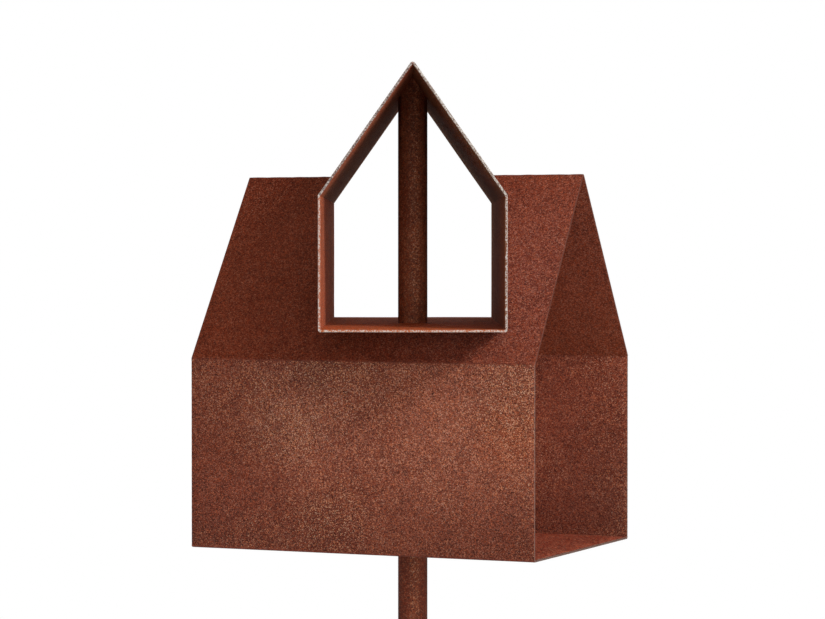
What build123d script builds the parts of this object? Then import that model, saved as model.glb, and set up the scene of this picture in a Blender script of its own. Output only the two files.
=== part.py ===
from build123d import *
import os
from itertools import product
from math import cos, radians, sin, tan

# Bird feeder on a pole, welded from weathering steel sheet and round tube.
# Two open gable houses cross each other: the lower one lies along X and is
# open at its left and right ends, the upper one is narrower, is turned about
# the pole and runs right through both slopes of the lower roof.
# Millimetres, +Z up, X along the lower ridge. The origin is the centre of
# the pole's lower end, at ground level.

# Sheet and welds
sheet = 2.0                  # thickness of every plate
ring_leg = 2.5               # leg of the weld rings that hold the floors to the pole
stitch_leg = 2.5             # leg of the short welds between the roof and the upper house
stitch_length = 22.0         # length of each of those short welds
stitches_per_side = 2        # evenly spaced on the upper house's floor and on each wall

# Pole
pole_diameter = 25.0
pole_wall = 2.0
pole_hole_gap = 0.3          # all round, between the pole and the holes in the floors
floor_height = 1200.0        # from the ground to the underside of the lower floor

# Both houses
roof_pitch = 55.0            # degrees

# Lower house, outside sizes
lower_length = 310.0         # along X, from open end to open end
lower_depth = 218.0          # front to back
lower_wall_height = 158.8    # underside of the floor to the corner of the eave

# Upper house, outside sizes
upper_length = 420.0         # along its own axis, from open end to open end
upper_width = 148.5
upper_wall_height = 107.3    # underside of the floor to the corner of the eave
upper_rise = 185.7           # underside of the lower floor to underside of the upper one
upper_turn = 24.0            # degrees, turns the front end towards +X
notch_gap = 0.4              # between the upper house and the notches in the lower roof

# Each house is drawn in the plane of its open end, with its own axis as the normal
turn = radians(upper_turn)
upper_floor_height = floor_height + upper_rise
lower_plane = Plane(origin=(0, 0, floor_height), x_dir=(0, 1, 0), z_dir=(1, 0, 0))
upper_plane = Plane(
    origin=(0, 0, upper_floor_height),
    x_dir=(cos(turn), sin(turn), 0),
    z_dir=(sin(turn), -cos(turn), 0),
)
pole_radius = pole_diameter / 2
slope = tan(radians(roof_pitch))

# The corners of a section, and the sides that start at them, go round from the floor
FLOOR, RIGHT_WALL, RIGHT_ROOF, LEFT_ROOF, LEFT_WALL = range(5)
LEFT_FLOOR_CORNER, RIGHT_FLOOR_CORNER, RIGHT_EAVE, RIDGE, LEFT_EAVE = range(5)
# On the lower house, right in its section is the back and left is the front
BACK_WALL, BACK_ROOF, FRONT_ROOF, FRONT_WALL = RIGHT_WALL, RIGHT_ROOF, LEFT_ROOF, LEFT_WALL


def inside_corners(width, wall_height):
    """Inside corners of a gable section, from its outside width and wall height."""
    inner_half = width / 2 - sheet
    inner_ridge = wall_height + width / 2 * slope - sheet / cos(radians(roof_pitch))
    inner_eave = inner_ridge - inner_half * slope
    return [
        Vector(-inner_half, sheet),
        Vector(inner_half, sheet),
        Vector(inner_half, inner_eave),
        Vector(0, inner_ridge),
        Vector(-inner_half, inner_eave),
    ]


def side_ends(corners, side):
    """Both ends of one side of the section, and the normal that points out of it."""
    start, end = corners[side], corners[(side + 1) % len(corners)]
    along = (end - start).normalized()
    return start, end, Vector(along.Y, -along.X)


def strip(corners, side, thickness):
    """Corners of a square-cut strip along one side, outwards or, if negative, inwards."""
    start, end, out = side_ends(corners, side)
    return [start, end, end + out * thickness, start + out * thickness]


def plate(plane, corners, side, length):
    """Flat plate that makes one side of a house, from open end to open end."""
    with BuildPart() as piece:
        with BuildSketch(plane):
            Polygon(*strip(corners, side, sheet), align=None)
        extrude(amount=length / 2, both=True)
    return piece


def corner_seam(plane, corners, corner, length):
    """Weld in the open corner between two plates, dressed to a radius of one sheet."""
    centre = corners[corner]
    before = side_ends(corners, corner - 1)[2] * sheet
    after = side_ends(corners, corner)[2] * sheet
    middle = (before + after).normalized() * sheet
    with BuildPart() as piece:
        with BuildSketch(plane):
            with BuildLine():
                Line(centre, centre + before)
                ThreePointArc(centre + before, centre + middle, centre + after)
                Line(centre + after, centre)
            make_face()
        extrude(amount=length / 2, both=True)
    return piece


def finish(piece, name):
    """Labels a finished piece and writes it to its own file."""
    piece.part.label = name
    export_step(piece.part, f"parts/{name}.step")


os.makedirs("parts", exist_ok=True)
lower_corners = inside_corners(lower_depth, lower_wall_height)
upper_corners = inside_corners(upper_width, upper_wall_height)

# The upper house's outside shape with the notch gap all round, as a cutter
with BuildPart() as upper_passage:
    with BuildSketch(upper_plane):
        Polygon(*upper_corners, align=None)
        offset(amount=sheet + notch_gap, kind=Kind.ARC)
    extrude(amount=upper_length, both=True)

# Lower house: floor with the hole for the pole
with BuildPart() as lower_floor:
    with BuildSketch(lower_plane):
        Polygon(*strip(lower_corners, FLOOR, sheet), align=None)
    extrude(amount=lower_length / 2, both=True)
    with Locations((0, 0, floor_height + sheet)):
        Hole(pole_radius + pole_hole_gap, depth=sheet)
finish(lower_floor, "lower_floor")

# Lower house: walls
finish(plate(lower_plane, lower_corners, FRONT_WALL, lower_length), "lower_front_wall")
finish(plate(lower_plane, lower_corners, BACK_WALL, lower_length), "lower_back_wall")

# Lower house: roof plates, each notched from the ridge down to let the upper house through
for name, side in (("lower_front_roof", FRONT_ROOF), ("lower_back_roof", BACK_ROOF)):
    with BuildPart() as roof_plate:
        with BuildSketch(lower_plane):
            Polygon(*strip(lower_corners, side, sheet), align=None)
        extrude(amount=lower_length / 2, both=True)
        add(upper_passage.part, mode=Mode.SUBTRACT)
    finish(roof_plate, name)

# Lower house: welds along the four corners that run unbroken from end to end
lower_seams = {
    "lower_front_floor_seam": LEFT_FLOOR_CORNER,
    "lower_back_floor_seam": RIGHT_FLOOR_CORNER,
    "lower_back_eave_seam": RIGHT_EAVE,
    "lower_front_eave_seam": LEFT_EAVE,
}
for name, corner in lower_seams.items():
    finish(corner_seam(lower_plane, lower_corners, corner, lower_length), name)

# Lower house: ridge weld, one stretch on each side of the upper house
for name, half in (("lower_ridge_seam_left", Keep.BOTTOM), ("lower_ridge_seam_right", Keep.TOP)):
    with BuildPart() as ridge_seam:
        add(corner_seam(lower_plane, lower_corners, RIDGE, lower_length).part)
        add(upper_passage.part, mode=Mode.SUBTRACT)
        split(bisect_by=Plane.YZ, keep=half)
    finish(ridge_seam, name)

# Upper house: floor with the hole for the pole
with BuildPart() as upper_floor:
    with BuildSketch(upper_plane):
        Polygon(*strip(upper_corners, FLOOR, sheet), align=None)
    extrude(amount=upper_length / 2, both=True)
    with Locations((0, 0, upper_floor_height + sheet)):
        Hole(pole_radius + pole_hole_gap, depth=sheet)
finish(upper_floor, "upper_floor")

# Upper house: walls and roof plates, left and right as seen from its front end
upper_plates = {
    "upper_left_wall": LEFT_WALL,
    "upper_right_wall": RIGHT_WALL,
    "upper_left_roof": LEFT_ROOF,
    "upper_right_roof": RIGHT_ROOF,
}
for name, side in upper_plates.items():
    finish(plate(upper_plane, upper_corners, side, upper_length), name)

# Upper house: welds along its five corners
upper_seams = {
    "upper_left_floor_seam": LEFT_FLOOR_CORNER,
    "upper_right_floor_seam": RIGHT_FLOOR_CORNER,
    "upper_left_eave_seam": LEFT_EAVE,
    "upper_right_eave_seam": RIGHT_EAVE,
    "upper_ridge_seam": RIDGE,
}
for name, corner in upper_seams.items():
    finish(corner_seam(upper_plane, upper_corners, corner, upper_length), name)

# Pole: one tube from the ground up, cut to a gable that seats under the upper roof
seat = upper_corners[RIDGE]
right_drop = Vector(pole_diameter, -pole_diameter * slope)
left_drop = Vector(-pole_diameter, -pole_diameter * slope)
rise = Vector(0, 2 * pole_diameter * slope)
with BuildPart() as pole:
    with BuildSketch():
        Circle(pole_radius)
        Circle(pole_radius - pole_wall, mode=Mode.SUBTRACT)
    extrude(amount=upper_floor_height + seat.Y)
    with BuildSketch(upper_plane):
        Polygon(
            seat,
            seat + right_drop,
            seat + right_drop + rise,
            seat + left_drop + rise,
            seat + left_drop,
            align=None,
        )
    extrude(amount=pole_diameter, both=True, mode=Mode.SUBTRACT)
finish(pole, "pole")

# Weld rings under the two floors, where the pole passes through
ring_heights = {
    "lower_floor_pole_weld": floor_height,
    "upper_floor_pole_weld": upper_floor_height,
}
for name, height in ring_heights.items():
    with BuildPart() as pole_weld:
        with BuildSketch(Plane.XZ):
            Polygon(
                (pole_radius, height),
                (pole_radius + ring_leg, height),
                (pole_radius, height - ring_leg),
                align=None,
            )
        revolve(axis=Axis.Z)
    finish(pole_weld, name)

# Short welds in the loft, between the notches in the roof and the upper house
stitched_roofs = {
    "front_roof_stitch_welds": (FRONT_ROOF, 1),
    "back_roof_stitch_welds": (BACK_ROOF, -1),
}
for name, (roof, facing) in stitched_roofs.items():
    with BuildPart() as stitch_welds:
        with BuildSketch(upper_plane):
            for side, count in product((FLOOR, LEFT_WALL, RIGHT_WALL), range(stitches_per_side)):
                start, end, out = side_ends(upper_corners, side)
                step = (end - start) / stitches_per_side
                middle = start + step / 2 + step * count + out * sheet
                along = (end - start).normalized() * stitch_length / 2
                leg = out * stitch_leg
                Polygon(
                    middle - along,
                    middle + along,
                    middle + along + leg,
                    middle - along + leg,
                    align=None,
                )
        extrude(amount=facing * upper_length / 2)
        with BuildSketch(lower_plane):
            Polygon(*strip(lower_corners, roof, -stitch_leg), align=None)
        extrude(amount=lower_length / 2, both=True, mode=Mode.INTERSECT)
    finish(stitch_welds, name)
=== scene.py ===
from math import ceil, cos, pi, radians, sin, tan

import bpy
import numpy as np
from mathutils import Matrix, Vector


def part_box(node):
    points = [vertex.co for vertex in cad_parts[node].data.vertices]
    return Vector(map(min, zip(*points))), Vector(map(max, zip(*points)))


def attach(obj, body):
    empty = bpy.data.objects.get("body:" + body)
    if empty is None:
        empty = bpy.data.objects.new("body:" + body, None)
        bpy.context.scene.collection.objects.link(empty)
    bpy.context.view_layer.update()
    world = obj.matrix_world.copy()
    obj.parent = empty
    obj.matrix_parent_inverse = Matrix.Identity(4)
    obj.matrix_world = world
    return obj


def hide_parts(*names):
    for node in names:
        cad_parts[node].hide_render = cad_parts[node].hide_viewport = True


# Looks of a bird feeder made of two crossing gable houses on a pole, welded from
# weathering steel sheet. Metres throughout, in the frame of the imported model.

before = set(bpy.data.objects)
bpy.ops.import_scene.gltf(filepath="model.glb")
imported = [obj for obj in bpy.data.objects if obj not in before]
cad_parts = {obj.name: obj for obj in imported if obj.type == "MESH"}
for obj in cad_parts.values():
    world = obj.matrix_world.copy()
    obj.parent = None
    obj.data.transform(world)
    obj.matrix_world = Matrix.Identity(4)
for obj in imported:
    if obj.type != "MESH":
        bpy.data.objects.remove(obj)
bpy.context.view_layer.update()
mm = 0.001

# The houses' own axes: across the section, along the house, up
UPPER_TURN = radians(24.0)
LOWER_AXES = np.array([(0, 1, 0), (1, 0, 0), (0, 0, 1)])
UPPER_AXES = np.array([
    (cos(UPPER_TURN), sin(UPPER_TURN), 0),
    (sin(UPPER_TURN), -cos(UPPER_TURN), 0),
    (0, 0, 1),
])
ROOF_PITCH = radians(55.0)

# Welds
STITCH_LENGTH = 22 * mm
STITCHES_PER_SIDE = 2
BEAD_LEG = 2.4 * mm            # a little under the solid that each bead stands for
RIPPLE_PITCH = 1.6 * mm        # from one ripple of a hand-laid bead to the next

# Camera, worked out from the photograph's straight edges
CAMERA_PLACE = (1.0525, -2.3640, 1.45385)
CAMERA_PITCH = radians(1.212)  # downwards
CAMERA_TURN = radians(24.004)
CAMERA_LENS = 132.65           # for a sensor 36 mm wide


def extent(node, axes):
    """Lowest and highest corner of a CAD node in a house's own axes."""
    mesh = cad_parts[node].data
    points = np.empty(len(mesh.vertices) * 3, np.float32)
    mesh.vertices.foreach_get("co", points)
    local = points.reshape(-1, 3) @ axes.T
    return local.min(0), local.max(0)


# Sizes read from the frame
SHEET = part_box("lower_floor")[1].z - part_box("lower_floor")[0].z
POLE_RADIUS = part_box("pole")[1].x


def section(house, axes, left, right):
    """Inside corners of a house's gable section, as (across, up), round from its left floor corner."""
    low, high = extent(f"{house}_{left}_wall", axes)
    ridge = extent(f"{house}_{left}_roof", axes)[1][2] - SHEET * cos(ROOF_PITCH)
    half = extent(f"{house}_{right}_wall", axes)[0][0]
    return np.array([
        (-half, low[2]), (half, low[2]), (half, high[2]), (0, ridge), (-half, high[2]),
    ])


# The corners of a section, and the sides that start at them, go round from the floor
LEFT_FOOT, RIGHT_FOOT, RIGHT_EAVE, RIDGE, LEFT_EAVE = range(5)
FLOOR, RIGHT_WALL, RIGHT_ROOF, LEFT_ROOF, LEFT_WALL = range(5)

# On the lower house, left in its section is the front and right is the back
LOWER_SECTION = section("lower", LOWER_AXES, "front", "back")
UPPER_SECTION = section("upper", UPPER_AXES, "left", "right")
LOWER_REACH = extent("lower_floor", LOWER_AXES)[1][1]
UPPER_REACH = extent("upper_floor", UPPER_AXES)[1][1]
LOWER_FLOOR_TOP = LOWER_SECTION[LEFT_FOOT][1]
UPPER_RIDGE = UPPER_SECTION[RIDGE][1]


def side_ends(corners, side):
    """The two corners that one side of a section runs between."""
    return corners[side], corners[(side + 1) % len(corners)]


def side_normal(corners, side):
    """Unit normal that points out of one side of a section."""
    start, stop = side_ends(corners, side)
    along = stop - start
    return np.array([along[1], -along[0]]) / np.linalg.norm(along)


def place(axes, across, along, up):
    """Points of the frame from a house's own coordinates, which are arrays or numbers."""
    parts = np.broadcast_arrays(across, along, up)
    return np.stack(parts, -1) @ axes


# Meshes from grids of points

SHARP_FOLD = radians(50)       # a fold steeper than this keeps its sharp line


def ripples(phase, seed):
    """Sum of four waves of random pitch and start, between about -1 and 1."""
    rng = np.random.default_rng(seed)
    total = np.zeros_like(phase)
    for pitch in (1.0, 1.7, 2.9, 4.3):
        total += np.sin(phase * pitch * rng.uniform(0.8, 1.2) + rng.uniform(0, 2 * pi)) / pitch
    return total / 2.0


def grid_faces(rows, columns):
    """Quads of a grid whose rows close on themselves, wound one way."""
    index = np.arange(rows * columns).reshape(rows, columns)
    right = np.roll(index, -1, axis=1)
    return np.stack([index[:-1], right[:-1], right[1:], index[1:]], -1).reshape(-1, 4)


def closed_rings(rings):
    """Points and faces of one solid whose rings (rows, columns, 3) are closed by a fan at each end."""
    rows, columns = rings.shape[:2]
    points = np.vstack([rings.reshape(-1, 3), rings[0].mean(0), rings[-1].mean(0)])
    quads = grid_faces(rows, columns)
    around = np.arange(columns)
    after = np.roll(around, -1)
    first = np.stack([after, around, np.full(columns, rows * columns)], -1)
    last = np.stack([around, after, np.full(columns, rows * columns + 1)], -1)
    last[:, :2] += (rows - 1) * columns
    return points, [*quads.tolist(), *first.tolist(), *last.tolist()]


def endless_rings(rings):
    """Points and faces of one solid whose rings follow a closed path."""
    rows, columns = rings.shape[:2]
    quads = grid_faces(rows + 1, columns) % (rows * columns)
    return rings.reshape(-1, 3), quads.tolist()


def outward(points, faces):
    """The faces, turned round if they enclose a negative volume."""
    volume = 0.0
    for size in (3, 4):
        of_size = [face for face in faces if len(face) == size]
        if of_size:
            corners = points[np.array(of_size)]
            for k in range(1, size - 1):
                volume += np.einsum(
                    "ij,ij->", corners[:, 0], np.cross(corners[:, k], corners[:, k + 1]))
    return faces if volume > 0 else [face[::-1] for face in faces]


def piece(name, solids, material, slot, *replaced, rim=None):
    """One object from a list of (points, faces), riding on the body and standing for the nodes.

    rim, where given, is how far out on a cut edge each point lies, from 0 to 1.
    """
    points, faces, count = [], [], 0
    for solid_points, solid_faces in solids:
        faces += [[k + count for k in face] for face in outward(solid_points, solid_faces)]
        points.append(solid_points)
        count += len(solid_points)
    mesh = bpy.data.meshes.new(name)
    mesh.from_pydata(np.vstack(points).tolist(), [], faces)
    if rim is not None:
        mesh.attributes.new("rim", "FLOAT", "POINT").data.foreach_set("value", rim.ravel())
    mesh.shade_smooth()
    mesh.set_sharp_from_angle(angle=SHARP_FOLD)
    mesh.materials.append(material)
    made = bpy.data.objects.new(name, mesh)
    bpy.context.scene.collection.objects.link(made)
    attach(made, "root")
    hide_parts(*replaced)


# Materials

NOISE_RANGE = (0.3, 0.7)       # holds nearly all of a noise's values
SMOOTH = {"interpolation_type": "SMOOTHSTEP"}
NEAR_BLACK = "#2a1512"         # pits between the crystals
BARE_STEEL = "#c6beb6"
CLOUD_SIZE = 80 * mm           # soft patches of rust of about one age
PATCH_SIZE = 14 * mm
SPECKLED_SIZE = 45 * mm        # parts of a sheet with more or fewer pale crystals
FOOT_SHADE_HEIGHT = 75 * mm          # how far the painted shade at a wall's foot climbs from the lower floor

# Factors on the linear colour of single crystals, for rust of different age, which together
# leave the base colour as it is
REDDER = (1.06, 0.78, 0.55, 1.0)
GREYER = (0.95, 1.24, 1.5, 1.0)


def linear(code):
    """Linear colour from an sRGB hex value."""
    values = np.array([int(code[k:k + 2], 16) for k in (1, 3, 5)]) / 255
    values = np.where(values <= 0.04045, values / 12.92, ((values + 0.055) / 1.055) ** 2.4)
    return (*values, 1.0)


def add(tree, kind, inputs=(), output=0, **settings):
    """Adds a node with its settings, its inputs linked or set, and gives one of its outputs."""
    node = tree.nodes.new("ShaderNode" + kind)
    for key, value in settings.items():
        setattr(node, key, value)
    for key, value in inputs.items() if isinstance(inputs, dict) else enumerate(inputs):
        if isinstance(value, bpy.types.NodeSocket):
            tree.links.new(value, node.inputs[key])
        else:
            node.inputs[key].default_value = value
    return node.outputs[output]


def new_material(name):
    """A material, its tree, its shader and its Object coordinates."""
    material = bpy.data.materials.new(name)
    material.use_nodes = True
    tree = material.node_tree
    return material, tree, tree.nodes["Principled BSDF"], add(tree, "TexCoord", output="Object")


def join(tree, shader, gloss, colour, rough, bumped):
    """Gives a shader its gloss and links what was worked out for it."""
    shader.inputs["Specular IOR Level"].default_value = gloss
    for key, value in (("Base Color", colour), ("Roughness", rough), ("Normal", bumped)):
        tree.links.new(value, shader.inputs[key])


def crystals(tree, at, size):
    """Crystals of rust of a real size: two random values for each, and how high its middle stands.

    Each is the cell round a random point, with its borders moved by a soft noise.
    """
    wander = add(tree, "TexNoise", {"Vector": at, "Scale": 0.8 / size, "Detail": 1.0}, "Color")
    wander = add(tree, "VectorMath", [wander, (0.5, 0.5, 0.5)], operation="SUBTRACT")
    wander = add(tree, "VectorMath", {0: wander, "Scale": size * 1.2}, operation="SCALE")
    moved = add(tree, "VectorMath", [at, wander], operation="ADD")
    cells = add(tree, "TexVoronoi", {"Vector": moved, "Scale": 1 / size}, "Color")
    chance = add(tree, "SeparateColor", [cells]).node.outputs
    rise = add(tree, "Math", [1.0, cells.node.outputs["Distance"]], operation="SUBTRACT")
    return chance["Red"], chance["Green"], rise


def rust_skin(tree, at, base, size, contrast, pale, specks, patchy, height):
    """Colour, roughness share and normal of a granular rust over a base colour.

    Each crystal is darker or lighter by the contrast and redder or greyer by chance, the
    lightest turn to the pale colour and the darkest near black, and soft patches of two sizes
    shift them together. specks is how far the lightest turn pale. The height is that of the
    crystals, in metres. Real crystals are under half a millimetre across, and are drawn two
    or three times as coarse, so that they show.
    """
    cloud = add(tree, "TexNoise", {"Vector": at, "Scale": 1 / CLOUD_SIZE})
    patch = add(tree, "TexNoise", {"Vector": at, "Scale": 1 / PATCH_SIZE, "Detail": 3.0})
    cloud, patch = [add(tree, "MapRange", [soft, *NOISE_RANGE, -patchy, patchy], **SMOOTH)
                    for soft in (cloud, patch)]
    both = add(tree, "Math", [cloud, patch], operation="ADD")
    coarse, hue, rise = crystals(tree, at, size)
    fine, _, fine_rise = crystals(tree, at, 0.6 * size)
    grain = add(tree, "Mix", {0: 0.5, 2: coarse, 3: fine})
    light = add(tree, "Math", [grain, both], operation="ADD")

    tone = add(tree, "MapRange", [light, 0.0, 1.0, 1 - contrast, 1 + contrast], **SMOOTH)
    colour = add(tree, "VectorMath", {0: base, "Scale": tone}, operation="SCALE")
    lightest = add(tree, "MapRange", [light, 0.64, 0.92], **SMOOTH)
    lightest = add(tree, "Math", [lightest, specks], operation="MULTIPLY")
    colour = add(tree, "MixRGB", [lightest, colour, linear(pale)])
    tint = add(tree, "MixRGB", [hue, REDDER, GREYER])
    colour = add(tree, "MixRGB", [1.0, colour, tint], blend_type="MULTIPLY")
    darkest = add(tree, "MapRange", [fine, 0.16, 0.0], **SMOOTH)
    darkest = add(tree, "Math", [darkest, specks], operation="MULTIPLY")
    colour = add(tree, "MixRGB", [darkest, colour, linear(NEAR_BLACK)])

    fine_rise = add(tree, "Math", [fine_rise, 0.5], operation="MULTIPLY")
    relief = add(tree, "Math", [rise, fine_rise], operation="ADD")
    crust = add(tree, "TexNoise", {"Vector": at, "Scale": 1 / (1.5 * size), "Roughness": 0.6})
    crust = add(tree, "Math", [crust, 0.5], operation="MULTIPLY")
    relief = add(tree, "Math", [relief, crust], operation="ADD")
    bumped = add(tree, "Bump", {"Height": relief, "Distance": height, "Strength": 1.0})
    return colour, grain, bumped


def bare_edge(tree, at, axis, colour, edge, most):
    """Colour over the cut edges, which face along a house's axis, and the share of bare steel.

    The laser leaves the edge with an oxide of its own colour. Towards its outer arris, where
    the rim attribute nears 1, rubbed steel shows as a pale broken line, drawn wider than a
    real one so that it shows. most is how far it does.
    """
    normal = at.node.outputs["Normal"]
    facing = add(tree, "VectorMath", [normal, axis], "Value", operation="DOT_PRODUCT")
    facing = add(tree, "Math", [facing], operation="ABSOLUTE")
    on_edge = add(tree, "MapRange", [facing, 0.55, 0.8], **SMOOTH)
    oxide = add(tree, "Math", [on_edge, 0.9], operation="MULTIPLY")
    colour = add(tree, "MixRGB", [oxide, colour, linear(edge)])
    rim = add(tree, "Attribute", output="Fac", attribute_name="rim")
    chips = add(tree, "TexNoise", {"Vector": at, "Scale": 1 / (1.1 * mm), "Roughness": 0.6})
    chips = add(tree, "MapRange", [chips, *NOISE_RANGE, -0.36, 0.36], **SMOOTH)
    worn = add(tree, "Math", [rim, chips], operation="ADD")
    worn = add(tree, "MapRange", [worn, 0.5, 0.85, 0.0, most], **SMOOTH)
    bare = add(tree, "Math", [on_edge, worn], operation="MULTIPLY")
    return add(tree, "MixRGB", [bare, colour, linear(BARE_STEEL)]), bare


def spot(tree, at, centre, radius, most):
    """most at a place on the part, falling softly to 0 at a radius, in metres."""
    away = add(tree, "VectorMath", [at, centre], operation="SUBTRACT")
    distance = add(tree, "VectorMath", [away], "Value", operation="LENGTH")
    near = add(tree, "MapRange", [distance, 0.0, radius, 1.0, 0.0], **SMOOTH)
    return add(tree, "Math", [near, most], operation="MULTIPLY")


def weathered_sheet(name, axis, middle, outside, inside, crystal, contrast, pale, specks, gloss,
                    edge, edge_bare, foot_shade=1.0, patches=(), speckled=()):
    """Weathering steel, hot rolled to sheet, laser cut and left out in the rain.

    To the eye it is a dry, matt, granular rust: red brown crystals with paler and near
    black ones, in soft patches. Inside faces have a colour of their own, which on the upper
    house is painted light and shade, the foot of a wall is darker with painted shade, and bare
    steel shows along the cut edges.
    patches are (centre, radius, colour, most), several of them painted light and shade, speckled
    (centre, radius, more specks).
    """
    material, tree, shader, at = new_material(name)
    normal = at.node.outputs["Normal"]
    inwards = add(tree, "VectorMath", [middle, at], operation="SUBTRACT")
    facing_in = add(tree, "VectorMath", [normal, inwards], "Value", operation="DOT_PRODUCT")
    indoors = add(tree, "MapRange", [facing_in, -2 * mm, 2 * mm], **SMOOTH)
    # Faces turned inwards take the inside colour, which on the upper house is painted light and shade
    base = add(tree, "MixRGB", [indoors, linear(outside), linear(inside)])
    for centre, radius, code, most in patches:
        base = add(tree, "MixRGB", [spot(tree, at, centre, radius, most), base, linear(code)])

    amount = add(tree, "TexNoise", {"Vector": at, "Scale": 1 / SPECKLED_SIZE})
    amount = add(tree, "MapRange", [amount, *NOISE_RANGE, 0.75 * specks, 1.25 * specks], **SMOOTH)
    for centre, radius, more in speckled:
        amount = add(tree, "Math", [amount, spot(tree, at, centre, radius, more)], operation="ADD")
    colour, grain, bumped = rust_skin(
        tree, at, base, crystal, contrast, pale, specks=amount, patchy=0.03, height=0.34 * mm)

    # Painted shade: the colour darkens towards the lower floor, by the factor given for the foot
    height = add(tree, "SeparateXYZ", [at], "Z")
    foot_shade_ramp = [height, LOWER_FLOOR_TOP, LOWER_FLOOR_TOP + FOOT_SHADE_HEIGHT, foot_shade, 1.0]
    foot_shade_factor = add(tree, "MapRange", foot_shade_ramp, **SMOOTH)
    colour = add(tree, "VectorMath", {0: colour, "Scale": foot_shade_factor}, operation="SCALE")
    colour, bare = bare_edge(tree, at, axis, colour, edge, edge_bare)
    dry = add(tree, "MapRange", [grain, 0.0, 1.0, 0.78, 0.92], **SMOOTH)
    rough = add(tree, "Mix", {0: bare, 2: dry, 3: 0.55})
    join(tree, shader, gloss, colour, rough, bumped)
    return material


def rusted_weld(name, axis, inner, outer, edge, edge_bare):
    """Weld metal, dressed or left as laid. It rusts to a finer skin than the sheet.

    On a dressed seam it takes the colour of the sheet beside it, and is worn bare at its ends.
    """
    material, tree, shader, at = new_material(name)
    stains = add(tree, "TexNoise", {"Vector": at, "Scale": 1 / (7 * mm), "Detail": 3.0})
    stains = add(tree, "MapRange", [stains, 0.35, 0.65], **SMOOTH)
    base = add(tree, "MixRGB", [stains, linear(inner), linear(outer)])
    colour, grain, bumped = rust_skin(
        tree, at, base, size=1.0 * mm, contrast=0.5, pale="#b0664a", specks=0.5, patchy=0.05,
        height=0.14 * mm)
    colour, _ = bare_edge(tree, at, axis, colour, edge, edge_bare)
    rough = add(tree, "MapRange", [grain, 0.0, 1.0, 0.7, 0.86], **SMOOTH)
    join(tree, shader, 0.2, colour, rough, bumped)
    return material


def rusted_tube(name, highlight_side):
    """Drawn steel tube. Its skin was smooth, so the rust is fine and even, with runs down the pole.

    Above the lower floor it is a little more orange, and one band down the side towards the
    camera and lamps is paler and more speckled: a painted highlight with painted glints.
    """
    material, tree, shader, at = new_material(name)
    height = add(tree, "SeparateXYZ", [at], "Z")
    indoors = add(tree, "MapRange", [height, LOWER_FLOOR_TOP - 5 * mm, LOWER_FLOOR_TOP], **SMOOTH)
    drawn = add(tree, "Mapping", {"Vector": at, "Scale": (1, 1, 0.1)})
    runs = {"Vector": drawn, "Scale": 1 / (5 * mm), "Detail": 3.0, "Roughness": 0.55}
    runs = add(tree, "TexNoise", runs)
    runs = add(tree, "MapRange", [runs, *NOISE_RANGE], **SMOOTH)
    below_floor = add(tree, "MixRGB", [runs, linear("#682e1d"), linear("#743521")])
    dry = add(tree, "MixRGB", [runs, linear("#6a321c"), linear("#763e25")])
    base = add(tree, "MixRGB", [indoors, below_floor, dry])
    # Painted highlight: a paler band with more pale specks, as painted glints, down the side that faces
    # the camera and lamps
    level = add(tree, "VectorMath", [at, (1, 1, 0)], operation="MULTIPLY")
    front = add(tree, "VectorMath", [level, highlight_side], "Value", operation="DOT_PRODUCT")
    highlight_band = add(tree, "MapRange", [front, 0.9 * POLE_RADIUS, 0.99 * POLE_RADIUS], **SMOOTH)
    paler = add(tree, "Math", [highlight_band, 0.2], operation="MULTIPLY")
    base = add(tree, "MixRGB", [paler, base, linear("#965838")])
    specks = add(tree, "MapRange", [highlight_band, 0.0, 1.0, 0.3, 0.9], **SMOOTH)
    colour, grain, bumped = rust_skin(
        tree, at, base, size=1.0 * mm, contrast=0.52, pale="#b87c5a", specks=specks, patchy=0.05,
        height=0.16 * mm)
    rough = add(tree, "MapRange", [grain, 0.0, 1.0, 0.6, 0.76], **SMOOTH)
    join(tree, shader, 0.2, colour, rough, bumped)
    return material


ALONG_LOWER = tuple(LOWER_AXES[1].astype(float))
ALONG_UPPER = tuple(UPPER_AXES[1].astype(float))
LOWER_MIDDLE, UPPER_MIDDLE = [
    (0, 0, (corners[LEFT_FOOT][1] + corners[RIGHT_EAVE][1]) / 2)
    for corners in (LOWER_SECTION, UPPER_SECTION)]

# The front wall has two paler patches of painted light about its middle, a painted shadow
# under the upper house, more specks in places, and an orange bloom by its right end; the walls
# are darker towards their foot, painted shade. Inside, the back wall is darker towards its right
# end.
wall_finish = weathered_sheet(
    "weathering_steel_wall", ALONG_LOWER, LOWER_MIDDLE, "#7a3c2b", "#823f2d",
    crystal=0.78 * mm, contrast=0.78, pale="#d8a27c", specks=0.6, gloss=0.15,
    edge="#6a4538", edge_bare=0.15, foot_shade=0.79,
    patches=[((0.08, -0.11, 1.32), 0.16, "#955440", 0.8), ((-0.05, -0.11, 1.315), 0.08, "#955441", 0.9),
             ((-0.04, -0.11, 1.355), 0.04, "#6c3a2c", 0.6), ((0.135, -0.11, 1.3), 0.045, "#a4502c", 0.3),
             ((0.155, 0.11, 1.235), 0.12, "#6c382a", 0.7)],
    speckled=[((-0.065, -0.11, 1.31), 0.06, 1.0), ((-0.01, -0.11, 1.35), 0.07, 0.9),
              ((-0.03, -0.11, 1.22), 0.045, 0.4), ((0.135, -0.11, 1.335), 0.06, 0.8),
              ((-0.155, -0.11, 1.27), 0.1, -0.5), ((0.1, -0.11, 1.2), 0.09, -0.4),
              ((0.1, 0.11, 1.25), 0.2, -0.25)])
floor_finish = weathered_sheet(
    "weathering_steel_floor", ALONG_LOWER, LOWER_MIDDLE, "#74382a", "#984430",
    crystal=1.5 * mm, contrast=0.85, pale="#d09a74", specks=0.6, gloss=0.1,
    edge="#60443a", edge_bare=0.15)
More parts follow.
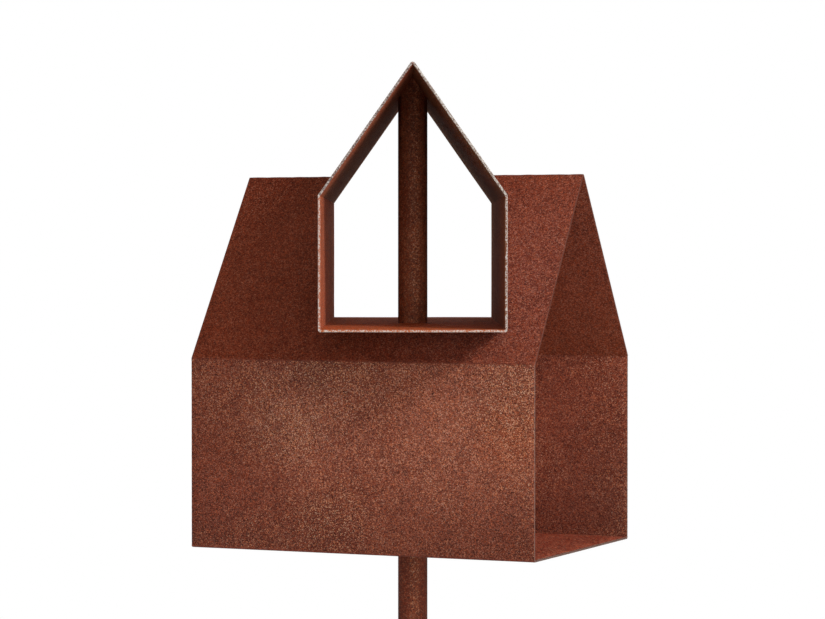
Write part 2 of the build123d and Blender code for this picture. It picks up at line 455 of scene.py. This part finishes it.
# The front slope has a painted shadow at the left end of its ridge, painted light beside the
# notch, and towards its right end paler rust, partly painted sheen, with more specks
roof_finish = weathered_sheet(
    "weathering_steel_roof", ALONG_LOWER, LOWER_MIDDLE, "#77341f", "#86422c",
    crystal=0.85 * mm, contrast=0.72, pale="#bd8064", specks=0.3, gloss=0.1,
    edge="#6c4034", edge_bare=0.2,
    patches=[((-0.13, 0.0, 1.52), 0.11, "#602411", 0.8), ((-0.04, -0.04, 1.47), 0.11, "#85402a", 0.7),
             ((0.14, -0.06, 1.42), 0.18, "#854435", 0.9)],
    speckled=[((0.14, -0.08, 1.42), 0.16, 0.6)])

# Painted light down the inside of the upper house's left slope, by its open end
mouth_painted_light = []
for share in (0.2, 0.55, 0.9):
    across = share * UPPER_SECTION[RIGHT_FOOT][0]
    centre = place(UPPER_AXES, -across, UPPER_REACH, UPPER_RIDGE - across * tan(ROOF_PITCH))
    mouth_painted_light.append((tuple(centre.tolist()), 0.11, "#c06a4a", 0.9))

# Each plate's colour inside, which is painted light and shade, brightest on the floor and left
# wall and darkest on the slopes, of its pale crystals and of its cut edge, and how bare that edge is
upper_finishes = {
    plate: weathered_sheet(
        f"weathering_steel_upper_{plate}", ALONG_UPPER, UPPER_MIDDLE, "#753623", inside,
        crystal=1.2 * mm, contrast=0.66, pale=pale, specks=0.4, gloss=0.06, edge=edge,
        edge_bare=edge_bare, patches=patches)
    for plate, inside, pale, edge, edge_bare, patches in (
        ("floor", "#bc5b31", "#cc8558", "#b0603a", 0.85, ()),
        ("left_wall", "#ba6242", "#cc8558", "#af6a51", 0.85, ()),
        ("left_roof", "#885438", "#b07c58", "#544a49", 0.75, mouth_painted_light),
        ("right_roof", "#7e5538", "#a87c58", "#86766c", 1.0, ()),
        ("right_wall", "#945833", "#b07c58", "#7a4c36", 1.0, ()),
    )
}
lower_weld_finish = rusted_weld(
    "rusted_weld_metal", ALONG_LOWER, "#6e3222", "#7c3d2b", "#6a4034", 0.2)
upper_weld_finish = rusted_weld(
    "rusted_weld_metal_upper", ALONG_UPPER, "#783422", "#86402b", "#875548", 1.0)
# The pole's painted highlight faces 32 degrees from the front towards +X
tube_finish = rusted_tube("rusted_drawn_tube", (sin(radians(32)), -cos(radians(32)), 0))

for name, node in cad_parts.items():
    finish = upper_weld_finish if name.startswith("upper") else lower_weld_finish
    if name == "pole":
        finish = tube_finish
    elif name.removeprefix("upper_") in upper_finishes:
        finish = upper_finishes[name.removeprefix("upper_")]
    elif name == "lower_floor":
        finish = floor_finish
    elif name.endswith("wall"):
        finish = wall_finish
    elif name.endswith("roof"):
        finish = roof_finish
    node.data.materials.clear()
    node.data.materials.append(finish)


# Sheet

ARRIS = 0.3 * mm               # rounding of a laser-cut edge after years of rust and rubbing
STRAY = 0.07 * mm              # how far a laser-cut edge strays from its line
STRAY_WAVE = 0.8 * mm
BUCKLE = 0.12 * mm             # how far welded sheet stands out of its plane
BUCKLE_WAVE = 45 * mm
POLE_HOLE_GAP = 0.3 * mm       # all round, between the pole and a floor
ARRIS_POINTS = 3               # round each arris
CUT_STEP = 0.8 * mm            # from point to point along a cut edge
FACE_POINTS = 56               # along one face of a plate
FLOOR_SIDE_POINTS = 90         # along each side of a floor, from open end to open end
FLOOR_ROWS = 14                # from the pole's hole out to a floor's edge, closest at the hole


def cut_end():
    """The open end of a plate from its inside face to its outside: (back from the end, depth, rim).

    A quarter circle, a straight edge and another quarter circle. rim rises over it to 1.
    """
    turn = np.linspace(0, pi / 2, ARRIS_POINTS + 1)[1:]
    back = ARRIS * (1 - np.sin(turn))
    depth = ARRIS * (1 - np.cos(turn))
    back = np.concatenate([back, back[::-1]])
    depth = np.concatenate([depth, SHEET - depth[::-1]])
    return back, depth, np.linspace(0.3, 1.0, len(back))


def buckle(along, share, seed):
    """How far welded sheet stands out of its plane: slow waves that die out at both welds."""
    return BUCKLE * ripples(along / BUCKLE_WAVE + 2.5 * share, seed) * np.sin(pi * share)


def ragged(place_on_edge, seed):
    """How far a cut edge strays back from its line: small waves, never outwards."""
    return STRAY * np.maximum(1 + ripples(place_on_edge / STRAY_WAVE, seed), 0)


def plate_faces(rows, columns, end_points):
    """Faces of a plate's rings, whose first and last ring are closed by quads across the sheet."""
    quads = grid_faces(rows, columns)
    near = np.arange(-end_points // 2, columns // 2 - end_points // 2 - 1)
    far = columns - end_points - 1 - near
    caps = np.stack([near, near + 1, far - 1, far], -1) % columns
    return [*quads.tolist(), *caps[:, ::-1].tolist(), *(caps + (rows - 1) * columns).tolist()]


def sheet_plate(axes, corners, side, reach, seed):
    """Plate on one side of a section, from weld to weld.

    At each share of the way from one inside corner to the next stands the same outline: both
    faces straight along the house and a cut end on each. It is buckled out of its plane, and
    its ends are a little ragged.
    """
    start, stop = side_ends(corners, side)
    width = np.linalg.norm(stop - start)
    share = np.linspace(0, 1, ceil(width / CUT_STEP))[:, None]
    back, end_depth, end_rim = cut_end()
    face = np.linspace(-1, 1, FACE_POINTS) * (reach - ARRIS)
    along = np.concatenate([face, reach - back, face[::-1], back - reach])[None, :]
    depth = np.concatenate([0 * face, end_depth, 0 * face + SHEET, end_depth[::-1]])[None, :]
    rim = np.concatenate([0 * face, end_rim, 0 * face, end_rim[::-1]])[None, :]
    stray = np.where(rim > 0, -np.sign(along) * ragged(share * width + along, seed), 0.0)
    out = side_normal(corners, side)
    away = depth + buckle(along, share, seed)
    middle = start + (stop - start) * share
    rings = place(axes, middle[:, :1] + out[0] * away, along + stray, middle[:, 1:] + out[1] * away)
    rims = np.broadcast_to(rim, rings.shape[:2])
    return rings.reshape(-1, 3), plate_faces(*rings.shape[:2], len(back)), rims


def floor_plate(axes, corners, reach, seed):
    """Floor with a round hole for the pole.

    Columns go round the floor's rectangle, and each joins a point of it to the point of the
    hole in the same direction. Rows go out over the top, down over the cut end and back below.
    """
    half, top = corners[RIGHT_FOOT]
    ends = np.linspace(-half, half, ceil(2 * half / CUT_STEP))
    sides = np.linspace(-reach, reach, FLOOR_SIDE_POINTS)[1:-1]
    across = np.concatenate([ends, 0 * sides + half, ends[::-1], 0 * sides - half])[:, None]
    along = np.concatenate([0 * ends + reach, sides[::-1], 0 * ends - reach, sides])[:, None]
    radius = POLE_RADIUS + POLE_HOLE_GAP
    length = np.hypot(across, along)
    hole_across, hole_along = radius * across / length, radius * along / length
    back, end_depth, end_rim = cut_end()
    outwards = np.linspace(0, 1, FLOOR_ROWS)[None, :] ** 1.5
    share = np.concatenate([outwards, np.ones((1, len(back))), outwards[:, ::-1]], axis=1)
    inset = np.concatenate([0 * outwards + ARRIS, back[None, :], 0 * outwards + ARRIS], axis=1)
    depth = np.concatenate([0 * outwards, end_depth[None, :], 0 * outwards + SHEET], axis=1)
    rim = np.concatenate([0 * outwards, end_rim[None, :], 0 * outwards], axis=1)
    edge_along = along * (1 - inset / reach)
    on_cut = (rim > 0) & (np.abs(along) >= reach)
    stray = np.where(on_cut, -np.sign(along) * ragged(across + along, seed), 0.0)
    at_across = hole_across + (across - hole_across) * share
    at_along = hole_along + (edge_along - hole_along) * share + stray
    away = depth + share * buckle(at_along, at_across / (2 * half) + 0.5, seed)
    rings = place(axes, at_across, at_along, top - away)
    points, faces = endless_rings(rings)
    return points, faces, np.broadcast_to(rim, rings.shape[:2])


def dress_plate(node, solid, finish):
    """A plate's piece, with its rim for the worn edge."""
    points, faces, rim = solid
    piece(f"{node}_sheet", [(points, faces)], finish, "rusted_plate", node, rim=rim)


for side, name in ((LEFT_WALL, "left_wall"), (RIGHT_WALL, "right_wall"),
                   (LEFT_ROOF, "left_roof"), (RIGHT_ROOF, "right_roof")):
    dress_plate(f"upper_{name}", sheet_plate(UPPER_AXES, UPPER_SECTION, side, UPPER_REACH, side),
                upper_finishes[name])
for side, name in ((LEFT_WALL, "front_wall"), (RIGHT_WALL, "back_wall")):
    dress_plate(f"lower_{name}", sheet_plate(LOWER_AXES, LOWER_SECTION, side, LOWER_REACH, 20 + side),
                wall_finish)
dress_plate("upper_floor", floor_plate(UPPER_AXES, UPPER_SECTION, UPPER_REACH, 31),
            upper_finishes["floor"])
dress_plate("lower_floor", floor_plate(LOWER_AXES, LOWER_SECTION, LOWER_REACH, 32), floor_finish)


# Dressed corner seams

SEAM_STEP = 1.5 * mm           # from ring to ring of points along a seam
ARC_POINTS = 9                 # round a seam, from plate to plate
HOLLOW = 0.09                  # how deep the grinder dug in at the middle, as a share of the sheet
HOLLOW_CHANGE = 0.07
HOLLOW_MOST = 0.2
HOLLOW_WAVE = 4 * mm


def dressed_seam(name, axes, corners, corner, start, end, finish, seed):
    """Weld ground round over the open corner between two plates.

    For each place along the seam and each angle from one plate's normal to the other's, the
    point lies one sheet from the inside corner, less a hollow that is nothing at both plates
    and follows random waves between them, where the grinder dug in or a pore was left.
    """
    rows = ceil((end - start) / SEAM_STEP) + 1
    along = np.linspace(start, end, rows)[:, None]
    share = np.linspace(0, 1, ARC_POINTS)[None, :]
    before = side_normal(corners, corner - 1)
    after = side_normal(corners, corner)
    bend = np.arctan2(before[0] * after[1] - before[1] * after[0], before @ after)
    angle = np.arctan2(before[1], before[0]) + share * bend
    hollow = HOLLOW + HOLLOW_CHANGE * ripples(along / HOLLOW_WAVE + 2 * share, seed)
    radius = SHEET * (1 - np.clip(hollow, 0, HOLLOW_MOST) * np.sin(pi * share))
    across = corners[corner][0] + radius * np.cos(angle)
    up = corners[corner][1] + radius * np.sin(angle)
    arc = place(axes, across, along, up)
    root = place(axes, corners[corner][0], along, corners[corner][1])
    points, faces = closed_rings(np.concatenate([arc, root], axis=1))
    # The worn edge shows on a seam's two ends: all of the arc, less at the root
    rim = np.full(len(points), 1.0)
    rim[ARC_POINTS:-2:ARC_POINTS + 1] = 0.3
    rim[-2:] = 0.8
    piece(f"dressed_{name}", [(points, faces)], finish, "rusted_weld", name, rim=rim)


for house, axes, corners, reach, finish, names in (
    ("lower", LOWER_AXES, LOWER_SECTION, LOWER_REACH, lower_weld_finish,
     {LEFT_FOOT: "front_floor_seam", RIGHT_FOOT: "back_floor_seam", RIGHT_EAVE: "back_eave_seam",
      LEFT_EAVE: "front_eave_seam"}),
    ("upper", UPPER_AXES, UPPER_SECTION, UPPER_REACH, upper_weld_finish,
     {LEFT_FOOT: "left_floor_seam", RIGHT_FOOT: "right_floor_seam", RIGHT_EAVE: "right_eave_seam",
      RIDGE: "ridge_seam", LEFT_EAVE: "left_eave_seam"}),
):
    for corner, name in names.items():
        dressed_seam(f"{house}_{name}", axes, corners, corner, -reach, reach, finish,
                     10 * corner + len(house + name))

for side in ("left", "right"):
    low, high = extent(f"lower_ridge_seam_{side}", LOWER_AXES)
    dressed_seam(f"lower_ridge_seam_{side}", LOWER_AXES, LOWER_SECTION, RIDGE, low[1], high[1],
                 lower_weld_finish, len(side))


# Weld beads as laid

STITCH_ROWS = 60
RING_ROWS = 240
FILLET_POINTS = 11             # across a bead's face
OVERLAP = 0.08                 # how much larger a ring is where its end runs over its start


def bead_radius(leg, angle, along, seed):
    """Distance of a fillet bead's face from its root.

    Between a flat and a round face of the leg's size, with a crescent step at every ripple,
    bowed forward in the middle of the face, and slow random changes of size. The divisor
    keeps the largest of these within the leg.
    """
    flat = leg / (np.cos(angle) + np.sin(angle))
    face = 0.45 * flat + 0.55 * leg
    bow = 0.5 * np.sin(2 * angle)
    step = np.mod(along / RIPPLE_PITCH - bow, 1.0)
    return face * (0.93 + 0.07 * step ** 2 + 0.04 * ripples(along / (3 * mm), seed)) / 1.04


def straight_bead(root, direction, first_face, second_face, length, leg, seed):
    """Fillet bead along a line, between two faces that leave its root at a right angle or near it.

    Both ends fall to the root on a quarter ellipse.
    """
    along = np.linspace(-0.5, 0.5, STITCH_ROWS)[:, None] * length
    angle = np.linspace(0, pi / 2, FILLET_POINTS)[None, :]
    to_end = np.clip((length / 2 - np.abs(along)) / (1.6 * leg), 0, 1)
    radius = bead_radius(leg, angle, along, seed) * np.sqrt(1 - (1 - to_end) ** 2) + 0.01 * mm
    line = root + along[..., None] * direction
    arc = (line + (radius * np.cos(angle))[..., None] * first_face
           + (radius * np.sin(angle))[..., None] * second_face)
    return closed_rings(np.concatenate([arc, line], axis=1))


def ring_bead(height, seed):
    """Fillet bead round the pole under a floor, with a bulge where its two ends meet."""
    turn = np.linspace(0, 2 * pi, RING_ROWS, endpoint=False)[:, None]
    angle = np.linspace(0, pi / 2, FILLET_POINTS)[None, :]
    bulge = 1 + OVERLAP * np.exp(-((turn - 4.2) / 0.12) ** 2)
    whole = round(2 * pi * POLE_RADIUS / RIPPLE_PITCH) * RIPPLE_PITCH
    along = turn / (2 * pi) * whole
    leg = BEAD_LEG / (1 + OVERLAP)
    radius = bead_radius(leg, angle, along, seed) * bulge
    out = POLE_RADIUS + np.concatenate([radius * np.cos(angle), 0 * turn], axis=1)
    down = np.concatenate([radius * np.sin(angle), 0 * turn], axis=1)
    rings = np.stack([out * np.cos(turn), out * np.sin(turn), height - down], -1)
    return endless_rings(rings)


for floor in ("lower_floor", "upper_floor"):
    solid = ring_bead(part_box(floor)[0].z, len(floor))
    piece(f"laid_{floor}_pole_weld", [solid], lower_weld_finish, "rusted_weld", f"{floor}_pole_weld")


def stitch_beads(roof_side, end):
    """The short beads between the upper house's floor and walls and one slope of the lower roof.

    Each lies where an outside face of the upper house meets the inside of the roof plate.
    """
    roof_normal = side_normal(LOWER_SECTION, roof_side)
    normal = place(LOWER_AXES, roof_normal[0], 0.0, roof_normal[1])
    ridge = LOWER_SECTION[RIDGE]
    on_roof = place(LOWER_AXES, ridge[0], 0.0, ridge[1])
    tube = place(UPPER_AXES, 0.0, 1.0, 0.0)
    beads = []
    for side in (FLOOR, LEFT_WALL, RIGHT_WALL):
        start, stop = side_ends(UPPER_SECTION, side)
        out = side_normal(UPPER_SECTION, side)
        outside = place(UPPER_AXES, out[0], 0.0, out[1])
        direction = np.cross(outside, normal)
        direction /= np.linalg.norm(direction)
        down_roof = np.cross(normal, direction)
        if down_roof @ outside < 0:
            down_roof = -down_roof
        for count in range(STITCHES_PER_SIDE):
            share = (count + 0.5) / STITCHES_PER_SIDE
            middle = start + (stop - start) * share + out * SHEET
            point = place(UPPER_AXES, middle[0], 0.0, middle[1])
            reach = ((on_roof - point) @ normal) / (tube @ normal)
            root = point + tube * reach
            along_tube = -end * tube
            beads.append(straight_bead(root, direction, down_roof, along_tube, STITCH_LENGTH,
                                       BEAD_LEG, 7 * side + count))
    return beads


for name, roof_side, end in (("front", LEFT_ROOF, 1.0), ("back", RIGHT_ROOF, -1.0)):
    piece(f"laid_{name}_roof_stitch_welds", stitch_beads(roof_side, end), lower_weld_finish,
          "rusted_weld", f"{name}_roof_stitch_welds")


# Pole

POLE_WALL = 2.0 * mm
POLE_SIDES = 128               # round the pole
POLE_POINTS = 24               # up the outside, and as many down the bore


def pole_surface():
    """Round tube cut to a gable at its top.

    Each ring of the grid runs up the outside and down the bore at one angle. The top lies
    under the upper roof: the ridge's height less the roof's slope times the distance across.
    """
    bore = POLE_RADIUS - POLE_WALL
    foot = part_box("pole")[0].z
    turn = np.linspace(0, 2 * pi, POLE_SIDES, endpoint=False)[:, None]
    share = np.linspace(0, 1, POLE_POINTS)[None, :]
    radius = np.concatenate([0 * share + POLE_RADIUS, 0 * share + bore], axis=1)
    x = radius * np.cos(turn)
    y = radius * np.sin(turn)
    across = x * UPPER_AXES[0][0] + y * UPPER_AXES[0][1]
    top = UPPER_RIDGE - np.abs(across) * tan(ROOF_PITCH)
    climb = np.concatenate([share, share[:, ::-1]], axis=1)
    return endless_rings(np.stack([x, y, foot + (top - foot) * climb], -1))


piece("pole_tube", [pole_surface()], tube_finish, "rusted_tube", "pole")


# Floor, lights and camera

STAGE_RADIUS = 3.2
STAGE_SIDES = 96
FADE = (1.2, 3.0)              # distances from the pole between which the floor turns white
FACING = 24                    # degrees from the front towards +X, where the camera stands


def white_seen(tree, other):
    """1 for rays from the camera and for one other kind of ray, so that both see plain white."""
    rays = add(tree, "LightPath").node.outputs
    return add(tree, "Math", [rays["Is Camera Ray"], rays[other]], operation="MAXIMUM")


def stage_floor():
    """Pale round floor that keeps the shadow and fades to plain white at its rim."""
    mesh = bpy.data.meshes.new("studio_floor")
    turn = np.linspace(0, 2 * pi, STAGE_SIDES, endpoint=False)
    points = STAGE_RADIUS * np.stack([np.cos(turn), np.sin(turn), 0 * turn], -1)
    mesh.from_pydata(points.tolist(), [], [list(range(len(points)))])
    material, tree, shader, at = new_material("studio_floor")
    shader.inputs["Base Color"].default_value = linear("#e4e4e2")
    shader.inputs["Roughness"].default_value = 0.9
    distance = add(tree, "VectorMath", [at], "Value", operation="LENGTH")
    fade = add(tree, "MapRange", [distance, *FADE], **SMOOTH)
    share = add(tree, "Math", [fade, white_seen(tree, "Is Glossy Ray")], operation="MULTIPLY")
    white = add(tree, "Emission", [(1, 1, 1, 1), 1.0])
    mixed = add(tree, "MixShader", [share, shader.outputs["BSDF"], white])
    tree.links.new(mixed, tree.nodes["Material Output"].inputs["Surface"])
    mesh.materials.append(material)
    floor = bpy.data.objects.new("studio_floor", mesh)
    bpy.context.scene.collection.objects.link(floor)


def world_light(strength):
    """Even light from all round, and a white background for the camera."""
    world = bpy.data.worlds.new("studio")
    world.use_nodes = True
    tree = world.node_tree
    background = tree.nodes["Background"]
    seen = white_seen(tree, "Is Transmission Ray")
    level = add(tree, "Mix", {0: seen, 2: strength, 3: 1.0})
    background.inputs["Color"].default_value = (1, 1, 1, 1)
    tree.links.new(level, background.inputs["Strength"])
    bpy.context.scene.world = world


def sun(name, azimuth, elevation, strength, spread):
    """Distant soft lamp. Its angles are in degrees, azimuth from the front towards +X."""
    lamp = bpy.data.lights.new(name, "SUN")
    lamp.energy = strength
    lamp.angle = radians(spread)
    made = bpy.data.objects.new(name, lamp)
    made.rotation_euler = (radians(90 - elevation), 0, radians(azimuth))
    bpy.context.scene.collection.objects.link(made)


stage_floor()
world_light(strength=0.33)
sun("key", azimuth=FACING + 45, elevation=30, strength=1.85, spread=12)
sun("front", azimuth=FACING + 14, elevation=9, strength=1.4, spread=40)
sun("back", azimuth=FACING + 180, elevation=20, strength=0.35, spread=60)

camera_data = bpy.data.cameras.new("photo_camera")
camera_data.lens = CAMERA_LENS
camera_data.sensor_width = 36.0
camera = bpy.data.objects.new("photo_camera", camera_data)
camera.location = CAMERA_PLACE
camera.rotation_euler = (pi / 2 - CAMERA_PITCH, 0, CAMERA_TURN)
bpy.context.scene.collection.objects.link(camera)
bpy.context.scene.camera = camera
bpy.context.scene.view_settings.view_transform = "Standard"
